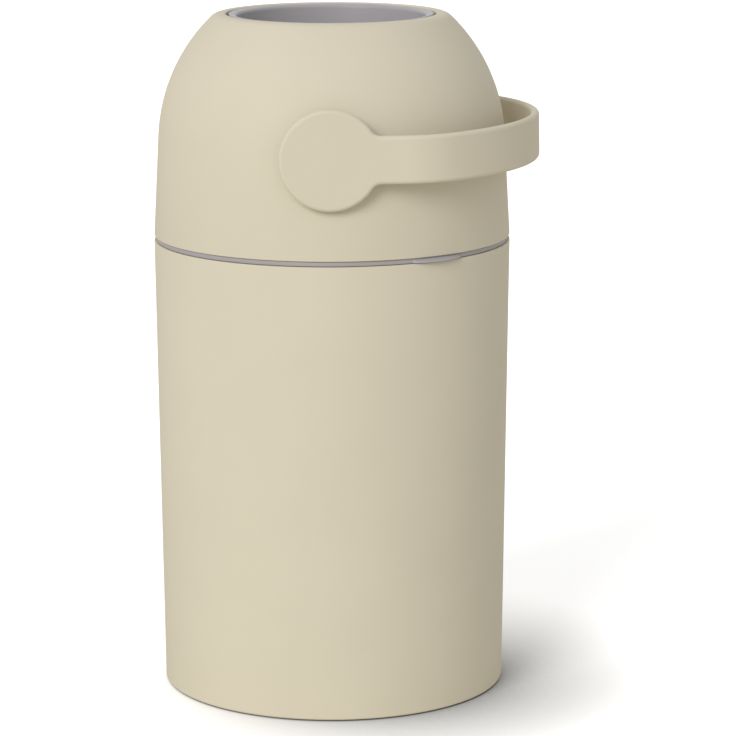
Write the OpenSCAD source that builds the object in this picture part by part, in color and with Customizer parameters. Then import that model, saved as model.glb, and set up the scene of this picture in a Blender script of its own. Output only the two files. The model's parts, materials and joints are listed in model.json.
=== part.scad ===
// Nappy bin: a tapered bucket with a domed head that lifts off, a loose bag ring between the two,
// and a bail handle that turns a round drum inside the head. The drum drops a nappy into the bag
// and its closed side shuts the inlet.
// Millimetres, +Z up. The origin is the centre of the base, on the floor. The drum turns about an
// axis along Y, and the handle lies towards +X. "Front" is the -Y side and "back" the +Y side.

/* [Bucket] */
// Outer radius of the bucket at its rim
body_rim_r = 130; // [118:0.5:145]
// Inward slope of the bucket's side, from the rim down
body_draft = 0.73; // [0:0.01:1.5]
// Height of the bucket from its lower edge to its rim
body_h = 329.8; // [260:0.2:400]
// Wall of the bucket
body_wall = 2.6; // [2:0.1:3.2]
// Height of the bucket's floor above its lower edge
floor_lift = 2.2; // [1.6:0.1:8]
// Thickness of the bucket's floor
floor_t = 3; // [2:0.5:5]
// Rounding of the bucket's lower edge
base_round = 1.6; // [0.5:0.1:2]
// Edge break of the bucket's rim and lower edge
rim_break = 0.6; // [0.3:0.1:0.9]
// How far the non-slip pad stands below the bucket's lower edge
pad_proud = 0.8; // [0.5:0.1:1.5]
// Distance from the bucket's wall to the non-slip pad
pad_margin = 11; // [4:0.5:30]

/* [Bag ring] */
// Thickness of the flange that shows between bucket and head
ring_t = 3.3; // [3:0.1:5]
// How far the flange lies inside the bucket's outer face
ring_inset = 1.5; // [0.9:0.1:1.7]
// Wall of the ring's skirt
ring_wall = 2; // [1.6:0.1:2.4]
// Depth of the ring's skirt below the bucket's rim
ring_skirt_h = 22; // [14:1:40]
// Height of the lip that centres the head, above the flange
ring_lip_h = 10.9; // [6:0.1:14]
// Edge break of the flange
ring_break = 0.5; // [0.2:0.1:0.6]
// How far the finger tab stands out from the flange
tab_out = 5.2; // [4:0.2:8]
// Width of the finger tab, round ends left out
tab_angle = 19; // [8:1:40]
// Direction of the finger tab, from +X
tab_dir = -54; // [-80:0.5:-40]
// How far the finger tab hangs below the flange, at its root
tab_drop = 0.6; // [0.3:0.1:3]
// Thickness of the finger tab at its outer edge
tab_edge_t = 2.4; // [1.6:0.1:3]
// Radius of the tab's ends, seen from above
tab_end_r = 6; // [2:0.5:8]
// Step from the flange's top down to the tab's
tab_step = 0.2; // [0.1:0.1:0.5]
// Width of the groove for the seal in the flange
gasket_w = 1.2; // [1:0.1:1.4]
// Depth of that groove
gasket_h = 1.6; // [1:0.1:2.2]

/* [Head] */
// Height of the head from its lower edge to its lip
head_h = 160.8; // [150:0.1:180]
// How far the head's lower edge lies inside the bucket's outer face
head_step = 0.1; // [0:0.1:1]
// Inward slope of the head's side
head_draft = 3; // [2:0.1:4]
// Height of the straight side
head_side_h = 73; // [60:0.5:80]
// Radius of the lip's rounding
lip_r = 9.2; // [8:0.1:12]
// Rounding of the lip's inner edge
lip_in_round = 1; // [0.5:0.1:2]
// Width of the flat on top of the lip
lip_flat = 3.4; // [1:0.1:5]
// Wall of the dome
head_wall = 2.6; // [2:0.1:3]
// Depth of the collar that turns down inside the lip
lip_return_h = 15.9; // [12:0.1:18]
// Radius of the dome's screw bosses for the inlet collar
collar_boss_r = 3.6; // [3:0.1:4.2]
// Distance from the lip's collar to those bosses
collar_boss_gap = 3.7; // [2:0.1:5]
// Radius of the dome's screw bosses for the chute plate
screw_boss_r = 4.4; // [3.5:0.1:4.8]
// Height of those bosses
screw_boss_h = 13; // [11:0.5:16]
// Thickness of the ribs that tie them to the wall
boss_rib_t = 2.4; // [1.6:0.1:3]

/* [Inlet collar] */
// Inward slope of the funnel, from its top to its lower end
inlet_flare = 3.3; // [2:0.1:5]
// Width of the collar's top
collar_top_w = 5.7; // [5.5:0.1:8]
// How far the collar lies below the lip
collar_drop = 0.2; // [0:0.1:3]
// Wall of the collar
collar_wall = 2.4; // [2:0.1:2.8]
// Open slit between the dome's lip and the collar
lip_slit = 2.2; // [1:0.1:2.4]
// Rounding of the collar's inner edge
collar_round = 2.6; // [1.5:0.1:3]
// Rounding of the collar's outer edge
collar_break = 0.8; // [0.4:0.1:1.2]
// Gap between the collar's outer skirt and its flange
skirt_gap = 2; // [1:0.1:4]
// Width of the flange outside its screws
collar_flange_w = 4.5; // [4:0.1:6]
// Number of collar screws
collar_screw_count = 4; // [3:1:6]
// Length of the collar screws
collar_screw_len = 8; // [6:0.5:9]

/* [Drum] */
// Height of the drum's axis above the head's lower edge
axis_h = 71.3; // [66:0.1:78]
// Outer radius of the drum
drum_r = 80; // [76:0.1:86]
// Wall of the drum
drum_wall = 2.6; // [2:0.1:3.2]
// How far the drum's rim stands past the seal
mouth_rise = 1; // [0.5:0.1:2]
// How far the bosses on the axis stand out of the drum
drum_boss_out = 4; // [3:0.5:5]
// How far those bosses reach into the drum
drum_boss_depth = 7; // [6.5:0.5:9]
// Wall of those bosses
drum_boss_wall = 5; // [4:0.1:7]
// Height of the stepped joint between the drum's halves
drum_step_h = 3; // [2:0.5:5]
// Running gap between the drum and its seals
seal_gap = 0.25; // [0.1:0.05:0.4]
// Running gap between the drum and the rigid rims round it
throat_gap = 0.4; // [0.3:0.05:0.8]

/* [Seals] */
// Latitude on the drum at which a seal begins
seal_lat = 30; // [28:0.5:32]
// Height of a seal
seal_h = 7; // [5:0.5:8]
// How far a seal's bore lies outside the drum's circle there
seal_lip = 1.3; // [0.8:0.1:2]
// Width of a seal at its near face
seal_root = 4.8; // [4.2:0.1:6]
// Wall of the skirt that holds a seal
seat_wall = 2.4; // [1.8:0.1:2.8]
// How far that skirt runs past the retaining ring
seat_lip = 0.3; // [0.1:0.1:1]
// Height of a retaining ring
retainer_h = 3.2; // [2.4:0.1:3.4]
// Width of a retaining ring
retainer_w = 2; // [1.4:0.1:2.2]

/* [Pivots] */
// Radius of the pivot shafts
shaft_r = 11; // [9.5:0.1:12]
// Running clearance of a shaft in its bush
shaft_clear = 0.06; // [0.03:0.01:0.1]
// How far a shaft's flange covers the square hole's corners
shaft_flange_w = 1; // [0.5:0.1:3]
// Thickness of a shaft's flange
shaft_flange_t = 3; // [2:0.5:4]
// Step from a shaft to the square that keys it to the drum
drum_key_step = 1; // [0.5:0.1:2]
// Depth of the handle's square below the shaft's surface, at its corners
handle_key_step = 0.1; // [0.1:0.1:1]
// Wall of a bush
bush_wall = 3; // [2:0.1:4]
// Length of a bush, flange left out
bush_len = 11.5; // [10:0.5:13]
// Thickness of a bush's flange
bush_flange_t = 2; // [1.5:0.1:3]
// Width of a bush's flange beyond the bush
bush_flange_w = 3; // [2:0.5:4]
// Axial gap between the drum and its bushes
end_gap = 0.4; // [0.2:0.1:0.6]
// Radius of the screws that hold the handle
hub_screw_r = 2.5; // [2:0.1:3]
// Radius of their heads
hub_screw_head_r = 4.8; // [4:0.1:5.2]
// Height of their heads
hub_screw_head_h = 3.4; // [2.5:0.1:3.5]
// Radius of the sockets in their heads, at the corners
hub_socket_r = 2; // [1.5:0.1:2.5]
// Depth of those sockets
hub_socket_h = 2; // [1:0.1:2.4]
// Radius of the caps over those heads
hub_cap_r = 12; // [8:0.5:16]
// Thickness of those caps
hub_cap_t = 1.6; // [1:0.1:2.5]
// Edge break of those caps
hub_cap_break = 0.6; // [0.2:0.1:1]

/* [Handle] */
// Gap between the dome's side and the handle's legs
leg_gap = 3.8; // [3:0.1:8]
// Gap for the fingers between the dome's side and the handle's far side
finger_gap = 19; // [16:0.5:45]
// Thickness of the handle
handle_t = 6; // [5:0.1:7]
// Width of the handle's band
handle_w = 33.8; // [24:0.2:40]
// Radius of the handle's corners, at the outer face
handle_corner_r = 60; // [50:1:80]
// How much larger the far side's radius is than half the handle's width
end_flatness = 18.3; // [4:0.1:50]
// Radius of the round end of each leg
disc_r = 35.7; // [31:0.1:40]
// Rounding of the handle's edges
handle_round = 2.9; // [1:0.1:2.9]
// Radius of the hollow between a disc and its leg
handle_hollow_r = 7; // [4:0.5:12]
// How far that hollow's filling lies below the handle's faces
hollow_inset = 0.5; // [0.2:0.1:1]
// Upward tilt of the resting handle
handle_tilt = 0.9; // [0:0.1:2]
// Wall of the bosses under the handle's discs, round the shaft
hub_boss_wall = 6; // [5:0.1:7]
// Clearance of those bosses in the dome
hub_clear = 0.4; // [0.3:0.1:0.8]
// Width of the dome's flat pads round the bosses
hub_pad_w = 6.6; // [5:0.1:9]
// Depth of those pads
hub_pad_h = 9; // [7:0.5:11]
// Thickness of the washers between pad and disc
washer_t = 1.2; // [0.8:0.1:1.6]
// How far the washers lie inside the pads' edges
washer_inset = 0.5; // [0:0.1:1]
// Radius of the threaded inserts
insert_r = 3.6; // [3.2:0.1:4.2]
// Length of the threaded inserts
insert_len = 10; // [6:0.5:10.5]
// Thickness of the handle outside the inserts
insert_cover = 3.8; // [3:0.1:5]

/* [Chute plate and brackets] */
// Thickness of the chute plate
plate_t = 2.6; // [2:0.1:3.5]
// Gap between the bag ring's lip and the chute plate
plate_gap = 1.4; // [0.5:0.1:4]
// Widening of the chute, from its upper end down
chute_flare = 10.8; // [6:0.1:16]
// Distance from the plate's edge to its screws
screw_inset = 10.2; // [9:0.1:14]
// Number of the plate's screws
plate_screw_count = 6; // [4:1:8]
// Thickness of the bearing brackets
post_t = 6; // [5:0.5:7]
// Width of the bearing brackets
post_w = 44; // [42:1:50]
// Wall of the brackets' bosses round the bushes
bush_boss_wall = 3.4; // [2:0.1:3.8]
// Length of the brackets' feet and gussets
gusset_len = 16; // [13:0.5:20]
// Thickness of the gussets
gusset_t = 3; // [2:0.5:4]
// Thickness of the brackets' feet
bracket_foot_t = 3; // [2:0.5:5]
// Height of the screw bosses on the brackets' feet
bracket_boss_h = 9; // [7:0.5:12]
// Distance from a bracket's middle to its screws
bracket_screw_x = 12; // [8:0.5:14]

/* [Fasteners and stops] */
// Radius of the small screws
screw_r = 1.5; // [1.2:0.1:1.7]
// Radius of the small screws' heads
screw_head_r = 3.2; // [2.8:0.1:3.4]
// Height of the small screws' heads
screw_head_h = 1.8; // [1.2:0.1:2]
// Clearance round screws in their through holes
screw_clear = 0.3; // [0.2:0.1:0.5]
// Depth of screw holes past the screws' tips
hole_spare = 0.7; // [0.4:0.1:1]
// Travel of the handle between its stops
handle_travel = 180; // [160:1:184]
// Width of a stop cam's lug
lug_angle = 38; // [24:1:44]
// Wall of a stop cam round the shaft
cam_wall = 5; // [4:0.1:6]
// Thickness of a stop cam
cam_t = 4.4; // [3:0.1:4.6]
// Gap between a cam's hub and the wall that stops its lug
stop_gap = 2.6; // [2:0.1:4]
// Thickness of that wall
stop_wall_t = 5.4; // [4:0.1:7]
// How far a lug lies inside that wall's outer face
lug_inset = 0.4; // [0.2:0.1:1]
// Angle left between lug and wall at each end
stop_slack = 1; // [0.5:0.5:3]

/* [Fits] */
// Gap between pieces that lift off each other
seat_gap = 0.3; // [0.3:0.05:0.5]
// Gap around rings that slide into each other
ring_gap = 0.5; // [0.4:0.1:0.8]
// Clearance of pieces that are fixed together
fix_gap = 0.1; // [0.05:0.05:0.2]

/* [Hidden] */
$fn = 96;

// Finishes
BEIGE = "#d8d1b9";
GREY = "#a9a4a7";
DARK = "#7d7a7e";
SEAL = "#8f8b90";
WHITE = "#e7e5df";
STEEL = "#c3c4c6";
BRASS = "#b9995a";
RUBBER = "#4a494b";

// Overlap of solids that are one piece
eps = 0.01;
// How far a stretch lies inside the next where two stretches of one piece run into each other
inlay = 0.02;
// How far one solid of a piece is sunk into another
root = 1;
// How far a cut runs past the face that it opens
cut = 1;

// Heights of the seams
z_base = pad_proud;
z_rim = z_base + body_h;
z_ring = z_rim + seat_gap;
z_flange_top = z_ring + ring_t;
z_lip = z_flange_top + ring_lip_h;
z_head = z_flange_top + seat_gap;
z_top = z_head + head_h;
z_axis = z_head + axis_h;

// Bucket
body_slope = tan(body_draft);
body_base_r = body_rim_r - body_h * body_slope;
body_in_r = body_rim_r - body_wall;
z_floor = z_base + floor_lift;

// Drum, with the bosses on its axis
drum_in_r = drum_r - drum_wall;
drum_mid_r = (drum_r + drum_in_r) / 2;
drum_key = 2 * (shaft_r + drum_key_step);
drum_boss_r = drum_key / sqrt(2) + drum_boss_wall;
y_boss_in = drum_r - drum_boss_depth;
y_boss_out = drum_r + drum_boss_out;

// Seals and the rims round the drum, as heights above the axis and radii
seal_near = drum_r * sin(seal_lat);
seal_far = seal_near + seal_h;
seal_bore_r = sqrt(pow(drum_r, 2) - pow(seal_far, 2)) + seal_lip;
seat_r = sqrt(pow(drum_r, 2) - pow(seal_near, 2)) + seal_gap + seal_root;
throat_r = sqrt(pow(drum_r + throat_gap, 2) - pow(seal_far, 2));
mouth_h = seal_far + mouth_rise;

// Inlet collar, and the dome's lip round it
inlet_r = throat_r + inlet_flare;
collar_r = inlet_r + collar_top_w;
lip_bore_r = collar_r + lip_slit;
return_r = lip_bore_r + head_wall;
z_return = z_top - lip_return_h;
z_collar = z_top - collar_drop;
z_collar_flange = z_return - fix_gap;
z_throat = z_axis + seal_far + collar_wall;
collar_screw_pitch_r = return_r + collar_boss_gap + collar_boss_r;
collar_flange_r = collar_screw_pitch_r + collar_flange_w;
funnel_slope = inlet_flare / (z_collar - collar_round - z_throat);
funnel_mid_r = throat_r + (z_collar_flange - z_throat) * funnel_slope + collar_wall / 2;

// Head: side, shoulder and lip, each running into the next
head_r = body_rim_r - head_step;
head_slope = tan(head_draft);
side_top_r = head_r - head_side_h * head_slope;
side_top_z = z_head + head_side_h;
lip_cr = lip_bore_r + lip_in_round + lip_flat;
lip_cz = z_top - lip_r;
side_to_lip = [side_top_r - lip_cr, side_top_z - lip_cz];
shoulder_r = (pow(norm(side_to_lip), 2) - pow(lip_r, 2))
    / (2 * (side_to_lip * [cos(head_draft), sin(head_draft)] - lip_r));
shoulder_cr = side_top_r - shoulder_r * cos(head_draft);
shoulder_cz = side_top_z - shoulder_r * sin(head_draft);
lip_angle = atan2(lip_cz - shoulder_cz, lip_cr - shoulder_cr);
side_r_at_axis = head_r - axis_h * head_slope;

// Bag ring, which hangs inside the bucket and centres the head
ring_r = body_rim_r - ring_inset;
ring_out_r = body_in_r - ring_skirt_h * body_slope - ring_gap;
ring_in_r = ring_out_r - ring_wall;
ring_lip_r = head_r - head_wall - (ring_lip_h + seat_gap) * head_slope - ring_gap;
groove_r = (ring_lip_r + ring_r - gasket_w) / 2;

// Handle
handle_in = side_r_at_axis + leg_gap;
handle_half = handle_in + handle_t;
handle_reach = side_r_at_axis + finger_gap + handle_t;
handle_end_r = handle_half + end_flatness;
handle_cx = handle_reach - handle_end_r;
corner_dx = sqrt(pow(handle_end_r - handle_corner_r, 2) - pow(handle_half - handle_corner_r, 2));
corner_cx = handle_cx + corner_dx;
corner_cy = handle_half - handle_corner_r;
end_angle = atan2(corner_cy, corner_dx);
handle_key = (shaft_r - handle_key_step) * sqrt(2);
hub_boss_r = shaft_r + hub_boss_wall;
hub_pad_r = hub_boss_r + hub_clear + hub_pad_w;
hub_pad_y = handle_in - seat_gap - washer_t - fix_gap;

// Places along the drum's axis, from the centre outwards
y_shaft_flange = y_boss_in - shaft_flange_t;
y_bush = y_boss_out + end_gap;
y_post = y_bush + bush_flange_t;
y_post_end = y_post + post_t;
y_bush_end = y_post + bush_len;
y_cam = y_bush_end + end_gap + seat_gap;
y_hub_boss = y_cam + cam_t + fix_gap;
y_insert = handle_half - insert_cover - insert_len;
y_key_end = y_insert - 2 * fix_gap;
bush_r = shaft_r + shaft_clear;
bush_out_r = bush_r + bush_wall;

// Stop cams and the walls that stop their lugs
cam_hub_r = shaft_r + cam_wall;
stop_wall_r = cam_hub_r + stop_gap;
post_head_r = stop_wall_r + stop_wall_t;
lug_r = post_head_r - lug_inset;

// Chute plate and the brackets on it
z_plate = z_lip + plate_gap;
z_deck = z_plate + plate_t + fix_gap;
plate_r = head_r - head_wall - (z_plate - z_head) * head_slope - 2 * ring_gap;
chute_r = throat_r + chute_flare;
plate_screw_pitch_r = plate_r - screw_inset;
plate_screw_len = screw_boss_h - 1;
bracket_screw_y = y_post_end + gusset_len / 2;

// Points on an arc about c, from angle a to angle b in n steps
function arc(c, r, a, b, n) =
    [for (i = [0:n]) let (t = a + (b - a) * i / n) [c[0] + r * cos(t), c[1] + r * sin(t)]];

// Radius and height pairs up the head's outer face, moved inwards by an inset
function head_side(inset) =
    [[head_r - inset, z_head]];
function head_shoulder(inset) =
    arc([shoulder_cr, shoulder_cz], shoulder_r - inset, head_draft, lip_angle, 16);
function head_lip(inset, to) =
    arc([lip_cr, lip_cz], lip_r - inset, lip_angle, to, 8);

function reversed(list) = [for (i = [len(list) - 1:-1:0]) list[i]];

// A part of one side of the axis, drawn along +Y and made for the side s, -1 or 1
module on_axis(s) {
    mirror([0, (1 - s) / 2, 0])
        translate([0, 0, z_axis])
            rotate([-90, 0, 0])
                children();
}

// Places children drawn above the axis on the inlet's side, s = 1, or on the bag's, s = -1
module above_axis(s) {
    translate([0, 0, z_axis])
        mirror([0, 0, (1 - s) / 2])
            children();
}

// A disc from height z to height z + h
module disc(r, z, h) {
    translate([0, 0, z])
        cylinder(r = r, h = h);
}

// A ring from radius a to radius b, from height z to height z + h
module ring(a, b, z, h) {
    difference() {
        disc(b, z, h);
        disc(a, z - cut, h + 2 * cut);
    }
}

// Copies set evenly on a circle
module on_circle(count, r, start = 0) {
    for (i = [0:count - 1])
        rotate([0, 0, start + i * 360 / count])
            translate([r, 0, 0])
                children();
}

// A bar with a square section, centred on Z
module square_bar(w, z, h) {
    translate([-w / 2, -w / 2, z])
        cube([w, w, h]);
}

// A pan head screw that points up, its head's underside at the origin
module small_screw(len) {
    disc(screw_head_r, -screw_head_h, screw_head_h);
    disc(screw_r, -eps, len);
}

module bin_body() {
    floor_in_r = body_base_r + (floor_lift + floor_t) * body_slope - body_wall;
    under_in_r = body_base_r + floor_lift * body_slope - body_wall;
    outer = concat(
        [[body_base_r - body_wall + rim_break, z_base]],
        arc([body_base_r - base_round, z_base + base_round], base_round, -90, 0, 5),
        [[body_rim_r, z_rim - rim_break], [body_rim_r - rim_break, z_rim]]
    );
    inner = [
        [body_in_r + rim_break, z_rim],
        [body_in_r, z_rim - rim_break],
        [floor_in_r, z_floor + floor_t],
        [0, z_floor + floor_t],
        [0, z_floor],
        [under_in_r, z_floor]
    ];
    color(BEIGE)
        rotate_extrude()
            polygon(concat(outer, inner));
}

// The non-slip pad fills the recess under the floor and stands below the bucket's edge
module base_pad() {
    color(RUBBER)
        disc(body_base_r - body_wall - pad_margin, 0, z_floor);
}

// Section of the finger tab: rooted in the flange, flat on top, with an underside that rises outwards
module tab_section() {
    top = z_flange_top - tab_step;
    floor_z = z_ring + ring_break;
    outside = body_rim_r + seat_gap;
    edge_r = tab_edge_t / 2;
    polygon(concat(
        [
            [ring_r - root, floor_z],
            [outside, floor_z],
            [outside, z_ring - tab_drop]
        ],
        arc([ring_r + tab_out - edge_r, top - edge_r], edge_r, -60, 90, 8),
        [[ring_r - root, top]]
    ));
}

// Outline of the finger tab from above, with round ends
module tab_plan() {
    reach = ring_r + tab_out + seat_gap;
    half = tab_angle / 2;
    end = [(reach - tab_end_r) * cos(half), (reach - tab_end_r) * sin(half)];
    side = arc(end, tab_end_r, half, half + 90, 6);
    inwards = 5 * tab_end_r * [cos(half), sin(half)];
    upper = concat(side, [side[6] - inwards]);
    polygon(concat(
        [[reach / cos(half), 0]],
        upper,
        reversed([for (p = upper) [p[0], -p[1]]])
    ));
}

module finger_tab() {
    intersection() {
        rotate_extrude()
            tab_section();
        rotate([0, 0, tab_dir])
            translate([0, 0, z_ring - 2 * tab_drop])
                linear_extrude(ring_t + 4 * tab_drop)
                    tab_plan();
    }
}

// Skirt, flange and lip of the bag ring in one section
module ring_section() {
    polygon([
        [ring_in_r, z_rim - ring_skirt_h],
        [ring_out_r - ring_break, z_rim - ring_skirt_h],
        [ring_out_r, z_rim - ring_skirt_h + 2 * ring_break],
        [ring_out_r, z_ring],
        [ring_r - ring_break, z_ring],
        [ring_r, z_ring + ring_break],
        [ring_r, z_flange_top - ring_break],
        [ring_r - ring_break, z_flange_top],
        [ring_lip_r, z_flange_top],
        [ring_lip_r, z_lip - 2 * ring_break],
        [ring_lip_r - ring_break, z_lip],
        [ring_in_r, z_lip]
    ]);
}

module bag_ring() {
    color(GREY)
        difference() {
            union() {
                rotate_extrude()
                    ring_section();
                finger_tab();
            }
            ring(groove_r, groove_r + gasket_w, z_flange_top - gasket_h, gasket_h + cut);
        }
}

module ring_gasket() {
    color(SEAL)
        ring(groove_r + fix_gap, groove_r + gasket_w - fix_gap, z_flange_top - gasket_h, gasket_h);
}

// The dome's screw boss at +X, with the rib that ties it to the wall
module plate_screw_boss() {
    rib_h = screw_boss_h - root;
    rib_end = head_r - head_wall / 2 - (z_deck + rib_h - z_head) * head_slope;
    translate([plate_screw_pitch_r, 0, 0])
        disc(screw_boss_r, z_deck, screw_boss_h);
    translate([plate_screw_pitch_r, -boss_rib_t / 2, z_deck])
        cube([rib_end - plate_screw_pitch_r, boss_rib_t, rib_h]);
}

// Section of the dome's wall, from its lower edge over the shoulder and down inside the lip
module dome_section() {
    in_lip_r = lip_r - head_wall;
    polygon(concat(
        head_side(0),
        head_shoulder(0),
        head_lip(0, 90),
        arc([lip_bore_r + lip_in_round, z_top - lip_in_round], lip_in_round, 90, 180, 6),
        [[lip_bore_r, z_return], [return_r, z_return]],
        arc([lip_cr, lip_cz], in_lip_r, 90 + asin((lip_cr - return_r) / in_lip_r), lip_angle, 5),
        reversed(head_shoulder(head_wall)),
        head_side(head_wall)
    ));
}

// The dome's whole inside, down to the middle of its wall
module dome_core_section() {
    inset = head_wall / 2;
    polygon(concat(
        [[0, z_head]],
        head_side(inset),
        head_shoulder(inset),
        head_lip(inset, 90),
        [[0, z_top - inset]]
    ));
}

module dome_cover() {
    collar_hole_h = collar_screw_len - collar_wall - fix_gap + hole_spare;
    plate_hole_h = plate_screw_len + hole_spare;
    color(BEIGE)
        difference() {
            union() {
                rotate_extrude()
                    dome_section();
                for (s = [-1, 1])
                    on_axis(s)
                        disc(hub_pad_r, hub_pad_y - hub_pad_h, hub_pad_h);
                on_circle(plate_screw_count, 0)
                    plate_screw_boss();
                intersection() {
                    on_circle(collar_screw_count, collar_screw_pitch_r, 45)
                        disc(collar_boss_r, z_return, lip_return_h);
                    rotate_extrude()
                        dome_core_section();
                }
            }
            for (s = [-1, 1])
                on_axis(s)
                    disc(hub_boss_r + hub_clear, drum_r, handle_half);
            on_circle(plate_screw_count, plate_screw_pitch_r)
                disc(screw_r + fix_gap, z_plate, plate_hole_h);
            on_circle(collar_screw_count, collar_screw_pitch_r, 45)
                disc(screw_r + fix_gap, z_return - cut, collar_hole_h + cut);
        }
}

// The skirt that holds a seal, drawn above the axis, and its web
module seal_seat() {
    skirt_low = seal_near - retainer_h - seat_lip;
    ring(throat_r, seat_r + seat_wall, seal_far, collar_wall);
    ring(seat_r, seat_r + seat_wall, skirt_low, seal_far + eps - skirt_low);
}

// A lip seal, shaped to the drum
module drum_seal() {
    difference() {
        ring(seal_bore_r, seat_r - fix_gap, seal_near, seal_h);
        sphere(r = drum_r + seal_gap);
    }
}

module seal_retainer() {
    ring(seat_r - fix_gap - retainer_w, seat_r - fix_gap, seal_near - retainer_h, retainer_h);
}

// Funnel, rounded top and outer skirt of the collar in one section
module collar_section() {
    skirt_low = z_collar_flange + skirt_gap;
    knee_z = z_collar - collar_round - collar_wall / 2;
    polygon(concat(
        [[throat_r, z_throat - eps]],
        arc([inlet_r + collar_round, z_collar - collar_round], collar_round, 180, 90, 6),
        arc([collar_r - collar_break, z_collar - collar_break], collar_break, 90, 0, 3),
        [
            [collar_r, skirt_low],
            [collar_r - collar_wall, skirt_low],
            [collar_r - collar_wall, z_collar - collar_wall],
            [inlet_r + collar_round, z_collar - collar_wall],
            [inlet_r + collar_wall, knee_z],
            [throat_r + collar_wall, z_throat - eps]
        ]
    ));
}

module inlet_collar() {
    color(GREY)
        difference() {
            union() {
                rotate_extrude()
                    collar_section();
                ring(funnel_mid_r, collar_flange_r, z_collar_flange - collar_wall, collar_wall);
                above_axis(1)
                    seal_seat();
            }
            on_circle(collar_screw_count, collar_screw_pitch_r, 45)
                disc(screw_r + screw_clear, z_collar_flange - collar_wall - cut, collar_wall + 2 * cut);
        }
}

module collar_screws() {
    color(STEEL)
        on_circle(collar_screw_count, collar_screw_pitch_r, 45)
            translate([0, 0, z_collar_flange - collar_wall])
                small_screw(collar_screw_len);
}

module upper_seal() {
    color(SEAL)
        above_axis(1)
            drum_seal();
}

module upper_seal_retainer() {
    color(GREY)
        above_axis(1)
            seal_retainer();
}

module lower_seal() {
    color(SEAL)
        above_axis(-1)
            drum_seal();
}

module lower_seal_retainer() {
    color(GREY)
        above_axis(-1)
            seal_retainer();
}

// The plate that closes the head below, with the chute that ends at the drum
module chute_plate() {
    chute_top = z_axis - seal_far - collar_wall;
    color(DARK)
        difference() {
            union() {
                ring(chute_r, plate_r, z_plate, plate_t);
                rotate_extrude()
                    polygon([
                        [chute_r - plate_t, z_plate],
                        [chute_r + eps, z_plate],
                        [chute_r + eps, z_plate + plate_t],
                        [throat_r + collar_wall, chute_top + eps],
                        [throat_r, chute_top + eps]
                    ]);
                above_axis(-1)
                    seal_seat();
            }
            on_circle(plate_screw_count, plate_screw_pitch_r)
                disc(screw_r + screw_clear, z_plate - cut, plate_t + 2 * cut);
            at_bracket_screws()
                disc(screw_r + screw_clear, z_plate - cut, plate_t + 2 * cut);
        }
}

module plate_screws() {
    color(STEEL)
        on_circle(plate_screw_count, plate_screw_pitch_r)
            translate([0, 0, z_plate])
                small_screw(plate_screw_len);
}

// The four places of the brackets' screws
module at_bracket_screws() {
    for (x = [-1, 1], y = [-1, 1])
        translate([x * bracket_screw_x, y * bracket_screw_y, 0])
            children();
}

module bracket_screws() {
    color(STEEL)
        at_bracket_screws()
            translate([0, 0, z_plate])
                small_screw(bracket_boss_h);
}

// The wall that a cam's lug meets at each end of the travel, drawn along the axis
module stop_wall() {
    from = lug_angle / 2 + stop_slack;
    span = 360 - handle_travel - 2 * from;
    translate([0, 0, y_post_end - eps])
        rotate([0, 0, from])
            rotate_extrude(angle = span)
                translate([stop_wall_r, 0])
                    square([stop_wall_t, y_cam + cam_t - y_post_end + eps]);
}

// Foot and gussets of the +Y bracket, which stand on the plate
module bracket_foot() {
    translate([root - post_w / 2, y_post_end - eps, z_deck])
        cube([post_w - 2 * root, gusset_len, bracket_foot_t]);
    for (s = [-1, 1])
        translate([s * (post_w - gusset_t) / 2 - gusset_t / 2, y_post_end - eps, z_deck])
            rotate([90, 0, 90])
                linear_extrude(gusset_t)
                    polygon([[0, 0], [gusset_len, 0], [0, z_axis - z_deck - post_head_r]]);
    for (s = [-1, 1])
        translate([s * bracket_screw_x, bracket_screw_y, 0])
            disc(screw_boss_r, z_deck, bracket_boss_h);
}

// A bracket that carries a pivot shaft, with the wall that ends the handle's travel
module bearing_bracket(s) {
    color(DARK)
        mirror([0, (1 - s) / 2, 0])
            difference() {
                union() {
                    on_axis(1) {
                        disc(post_head_r, y_post, post_t);
                        translate([-post_w / 2, 0, y_post])
                            cube([post_w, z_axis - z_deck, post_t]);
                        disc(bush_out_r + bush_boss_wall, y_post_end - eps, bush_len - post_t + eps);
                        stop_wall();
                    }
                    bracket_foot();
                }
                on_axis(1)
                    disc(bush_out_r + fix_gap, y_post - cut, bush_len + 2 * cut);
                for (x = [-1, 1])
                    translate([x * bracket_screw_x, bracket_screw_y, 0])
                        disc(screw_r + fix_gap, z_deck - cut, bracket_boss_h + 2 * cut);
            }
}

module bearing_bracket_front() {
    bearing_bracket(-1);
}

module bearing_bracket_back() {
    bearing_bracket(1);
}

module bearing_bush(s) {
    length = bush_flange_t + bush_len;
    color(WHITE)
        on_axis(s)
            difference() {
                union() {
                    disc(bush_out_r + bush_flange_w, y_bush, bush_flange_t);
                    disc(bush_out_r, y_bush, length);
                }
                disc(bush_r, y_bush - cut, length + 2 * cut);
            }
}

module bearing_bush_front() {
    bearing_bush(-1);
}

module bearing_bush_back() {
    bearing_bush(1);
}

module hub_washer(s) {
    color(WHITE)
        on_axis(s)
            ring(hub_boss_r + hub_clear, hub_pad_r - washer_inset, hub_pad_y + fix_gap, washer_t);
}

module hub_washer_front() {
    hub_washer(-1);
}

module hub_washer_back() {
    hub_washer(1);
}

// Both bosses of the drum, about the origin
module drum_bosses() {
    for (s = [-1, 1])
        translate([0, 0, -z_axis])
            on_axis(s)
                disc(drum_boss_r, y_boss_in, y_boss_out - y_boss_in);
}

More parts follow.
